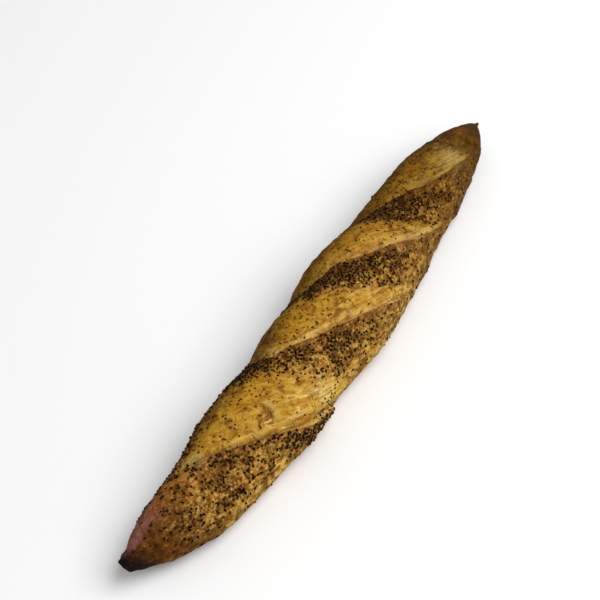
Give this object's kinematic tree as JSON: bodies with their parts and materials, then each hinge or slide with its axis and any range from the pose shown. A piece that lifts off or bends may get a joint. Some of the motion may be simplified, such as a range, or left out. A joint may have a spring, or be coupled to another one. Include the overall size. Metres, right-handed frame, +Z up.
{
  "type": "seeded baguette",
  "caption": "Long pointed crusty loaf with slanting slashes that opened into sharp ears and golden dough, sprinkled with poppy seeds, flat underneath.",
  "frame": {"origin": "middle of the bounding box at the level of the flat sole", "axes": "+X along the loaf toward the sharper tip, -Y toward the side where the slashes end lowest, +Z up"},
  "size_m": [0.4, 0.0628, 0.0463],
  "materials": {
    "baked_crust": "matte to faintly glossy baked crust, golden where slashed, brown between, with small blue-black poppy seeds"
  },
  "bodies": {
    "root": {"loaf": "baked_crust"}
  },
  "joints": []
}
